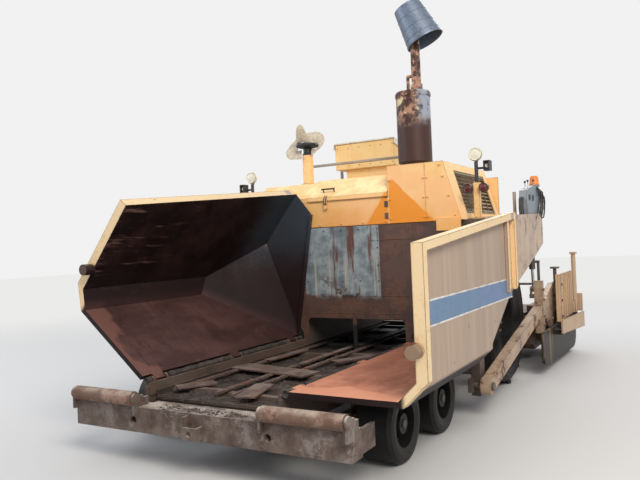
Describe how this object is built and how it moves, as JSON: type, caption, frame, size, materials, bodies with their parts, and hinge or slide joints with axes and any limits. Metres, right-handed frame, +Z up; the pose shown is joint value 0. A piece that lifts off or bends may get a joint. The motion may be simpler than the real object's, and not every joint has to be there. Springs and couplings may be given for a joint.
{
  "type": "wheeled asphalt paver",
  "caption": "Worn wheeled asphalt paver with a front hopper of folding wings, a tilted wing, raised hood, muffler, operator deck and rear screed.",
  "frame": {"origin": "centre of the machine's footprint on the ground", "axes": "+Z up, -Y towards the push beam at the front, +X towards the machine's left side"},
  "size_m": [3.42, 6.375, 4.1823],
  "materials": {
    "painted_frame": "faded cream over rust, tar and dust",
    "worn_steel": "bare worn steel with tar",
    "rusty_steel": "rusty steel",
    "rusty_plate": "rusty plate with galvanised patches",
    "wing_paint": "faded paint outside, rust inside",
    "dark_iron": "oily dark iron",
    "cream_paint": "chalky cream paint with rust runs",
    "grille_paint": "olive brown grille",
    "muffler_rust": "burnt rust with peeled paint",
    "galvanised": "galvanised sheet",
    "straw": "woven straw",
    "lamp_metal": "lamp housings",
    "pale_cover": "pale sheet cover",
    "black_vinyl": "black vinyl",
    "black_plastic": "black plastic",
    "blue_grey_paint": "blue-grey paint",
    "amber_plastic": "amber lens",
    "walkway_steel": "dark tread plate",
    "chrome_rod": "chromed rod",
    "tyre_rubber": "dusty rubber"
  },
  "bodies": {
    "machine": {"chassis": "painted_frame", "push_beam": "worn_steel", "conveyor_deck": "worn_steel", "conveyor_bars": "rusty_steel", "hopper_back": "rusty_plate", "front_bogies": "dark_iron", "final_drives": "dark_iron", "engine": "dark_iron", "hood": "cream_paint", "hood_grilles": "grille_paint", "exhaust": "muffler_rust", "exhaust_pail": "galvanised", "intake": "cream_paint", "intake_hat": "straw", "lamp_posts": "cream_paint", "work_lamps": "lamp_metal", "operator_deck": "cream_paint", "deck_rails": "galvanised", "console": "cream_paint", "operator_chair": "black_vinyl", "side_panels": "cream_paint", "side_console": "blue_grey_paint", "beacon": "amber_plastic", "tank": "dark_iron"},
    "screed": {"tow_arms": "cream_paint", "screed_body": "worn_steel", "end_gates": "dark_iron", "screed_walkway": "walkway_steel"},
    "push_roller_l": {"push_roller_l": "rusty_steel"},
    "push_roller_r": {"push_roller_r": "rusty_steel"},
    "wing_l": {"wing_l": "wing_paint"},
    "wing_r": {"wing_r": "wing_paint"},
    "wing_barrel_l": {"wing_barrel_l": "dark_iron"},
    "wing_barrel_r": {"wing_barrel_r": "dark_iron"},
    "wing_rod_l": {"wing_rod_l": "chrome_rod"},
    "wing_rod_r": {"wing_rod_r": "chrome_rod"},
    "knuckle_l1": {"knuckle_l1": "dark_iron"},
    "knuckle_l2": {"knuckle_l2": "dark_iron"},
    "knuckle_r1": {"knuckle_r1": "dark_iron"},
    "knuckle_r2": {"knuckle_r2": "dark_iron"},
    "front_wheel_l1": {"front_wheel_l1": "tyre_rubber"},
    "front_wheel_l2": {"front_wheel_l2": "tyre_rubber"},
    "front_wheel_r1": {"front_wheel_r1": "tyre_rubber"},
    "front_wheel_r2": {"front_wheel_r2": "tyre_rubber"},
    "drive_wheel_l": {"drive_wheel_l": "tyre_rubber"},
    "drive_wheel_r": {"drive_wheel_r": "tyre_rubber"},
    "hood_lid": {"hood_lid": "cream_paint"},
    "console_lid": {"console_lid": "pale_cover"},
    "steering_wheel": {"steering_wheel": "black_plastic"},
    "auger_l": {"auger_l": "worn_steel"},
    "auger_r": {"auger_r": "worn_steel"},
    "lift_barrel_l": {"lift_barrel_l": "dark_iron"},
    "lift_barrel_r": {"lift_barrel_r": "dark_iron"},
    "lift_rod_l": {"lift_rod_l": "chrome_rod"},
    "lift_rod_r": {"lift_rod_r": "chrome_rod"}
  },
  "joints": [
    {"name": "push_roller_l_turn", "type": "hinge", "parent": "machine", "child": "push_roller_l", "pos_m": [0.9, -3.122, 0.53], "axis": [1, 0, 0], "continuous": true},
    {"name": "wing_l_tilt", "type": "hinge", "parent": "machine", "child": "wing_l", "pos_m": [0.66, -1.792, 0.62], "axis": [0, -1, 0], "range_deg": [0, 39]},
    {"name": "wing_l_barrel", "type": "hinge", "parent": "machine", "child": "wing_barrel_l", "pos_m": [0.7, -1.792, 0.43], "axis": [0, -1, 0], "range_deg": [0, 35.65]},
    {"name": "wing_l_rod", "type": "slide", "parent": "wing_barrel_l", "child": "wing_rod_l", "axis": [0.9809, 0, 0.1945], "range_m": [0, 0.12392]},
    {"name": "steer_l1", "type": "hinge", "parent": "machine", "child": "knuckle_l1", "pos_m": [1, -2.212, 0.29], "axis": [0, 0, 1], "range_deg": [-20, 20]},
    {"name": "front_wheel_l1_turn", "type": "hinge", "parent": "knuckle_l1", "child": "front_wheel_l1", "pos_m": [1.09, -2.212, 0.29], "axis": [1, 0, 0], "continuous": true},
    {"name": "steer_l2", "type": "hinge", "parent": "machine", "child": "knuckle_l2", "pos_m": [1, -1.372, 0.29], "axis": [0, 0, 1], "range_deg": [-20, 20]},
    {"name": "front_wheel_l2_turn", "type": "hinge", "parent": "knuckle_l2", "child": "front_wheel_l2", "pos_m": [1.09, -1.372, 0.29], "axis": [1, 0, 0], "continuous": true},
    {"name": "drive_wheel_l_turn", "type": "hinge", "parent": "machine", "child": "drive_wheel_l", "pos_m": [1.1, 0.668, 0.7], "axis": [1, 0, 0], "continuous": true},
    {"name": "auger_l_turn", "type": "hinge", "parent": "machine", "child": "auger_l", "pos_m": [0.6, 1.748, 0.43], "axis": [1, 0, 0], "continuous": true},
    {"name": "push_roller_r_turn", "type": "hinge", "parent": "machine", "child": "push_roller_r", "pos_m": [-0.9, -3.122, 0.53], "axis": [1, 0, 0], "continuous": true},
    {"name": "wing_r_tilt", "type": "hinge", "parent": "machine", "child": "wing_r", "pos_m": [-0.66, -1.792, 0.62], "axis": [0, 1, 0], "range_deg": [-39, 0]},
    {"name": "wing_r_barrel", "type": "hinge", "parent": "machine", "child": "wing_barrel_r", "pos_m": [-0.7, -1.792, 0.43], "axis": [0, 1, 0], "range_deg": [-35.65, 0]},
    {"name": "wing_r_rod", "type": "slide", "parent": "wing_barrel_r", "child": "wing_rod_r", "axis": [-0.6838, 0, 0.7297], "range_m": [-0.12392, 0]},
    {"name": "steer_r1", "type": "hinge", "parent": "machine", "child": "knuckle_r1", "pos_m": [-1, -2.212, 0.29], "axis": [0, 0, 1], "range_deg": [-20, 20]},
    {"name": "front_wheel_r1_turn", "type": "hinge", "parent": "knuckle_r1", "child": "front_wheel_r1", "pos_m": [-1.09, -2.212, 0.29], "axis": [1, 0, 0], "continuous": true},
    {"name": "steer_r2", "type": "hinge", "parent": "machine", "child": "knuckle_r2", "pos_m": [-1, -1.372, 0.29], "axis": [0, 0, 1], "range_deg": [-20, 20]},
    {"name": "front_wheel_r2_turn", "type": "hinge", "parent": "knuckle_r2", "child": "front_wheel_r2", "pos_m": [-1.09, -1.372, 0.29], "axis": [1, 0, 0], "continuous": true},
    {"name": "drive_wheel_r_turn", "type": "hinge", "parent": "machine", "child": "drive_wheel_r", "pos_m": [-1.1, 0.668, 0.7], "axis": [1, 0, 0], "continuous": true},
    {"name": "auger_r_turn", "type": "hinge", "parent": "machine", "child": "auger_r", "pos_m": [-0.6, 1.748, 0.43], "axis": [1, 0, 0], "continuous": true},
    {"name": "hood_lid_lift", "type": "hinge", "parent": "machine", "child": "hood_lid", "pos_m": [-0.0375, -0.354, 2.3313], "axis": [-1, 0, 0], "range_deg": [0, 80]},
    {"name": "console_lid_lift", "type": "hinge", "parent": "machine", "child": "console_lid", "pos_m": [-0.55, 0.91612, 2.94119], "axis": [1, 0, 0], "range_deg": [0, 100]},
    {"name": "steering_wheel_turn", "type": "hinge", "parent": "machine", "child": "steering_wheel", "pos_m": [-0.55, 1.488, 2.7], "axis": [0, 0.5736, 0.8192], "range_deg": [-360, 360]},
    {"name": "screed_lift", "type": "hinge", "parent": "machine", "child": "screed", "pos_m": [0, -0.852, 0.3], "axis": [1, 0, 0], "range_deg": [-1.2, 4]},
    {"name": "lift_l_barrel", "type": "hinge", "parent": "machine", "child": "lift_barrel_l", "pos_m": [1.33, 1.688, 1.56], "axis": [1, 0, 0], "range_deg": [-4.4, 1.32]},
    {"name": "lift_l_rod", "type": "slide", "parent": "lift_barrel_l", "child": "lift_rod_l", "axis": [0, 0.083, -0.9965], "range_m": [-0.18201, 0.05461]},
    {"name": "lift_r_barrel", "type": "hinge", "parent": "machine", "child": "lift_barrel_r", "pos_m": [-1.33, 1.688, 1.56], "axis": [1, 0, 0], "range_deg": [-4.4, 1.32]},
    {"name": "lift_r_rod", "type": "slide", "parent": "lift_barrel_r", "child": "lift_rod_r", "axis": [0, 0.083, -0.9965], "range_m": [-0.18201, 0.05461]}
  ],
  "couplings": [
    {"joint": "steer_l2", "follows": "steer_l1", "ratio": 1},
    {"joint": "steer_r1", "follows": "steer_l1", "ratio": 1},
    {"joint": "steer_r2", "follows": "steer_l1", "ratio": 1},
    {"joint": "steering_wheel_turn", "follows": "steer_l1", "ratio": 18},
    {"joint": "wing_l_barrel", "follows": "wing_l_tilt", "ratio": 0.91403},
    {"joint": "wing_l_rod", "follows": "wing_l_tilt", "m_per_rad": 0.18205},
    {"joint": "lift_l_barrel", "follows": "screed_lift", "ratio": -1.1},
    {"joint": "lift_l_rod", "follows": "screed_lift", "m_per_rad": -2.607},
    {"joint": "wing_r_barrel", "follows": "wing_r_tilt", "ratio": 0.91403},
    {"joint": "wing_r_rod", "follows": "wing_r_tilt", "m_per_rad": 0.18205},
    {"joint": "lift_r_barrel", "follows": "screed_lift", "ratio": -1.1},
    {"joint": "lift_r_rod", "follows": "screed_lift", "m_per_rad": -2.607}
  ]
}
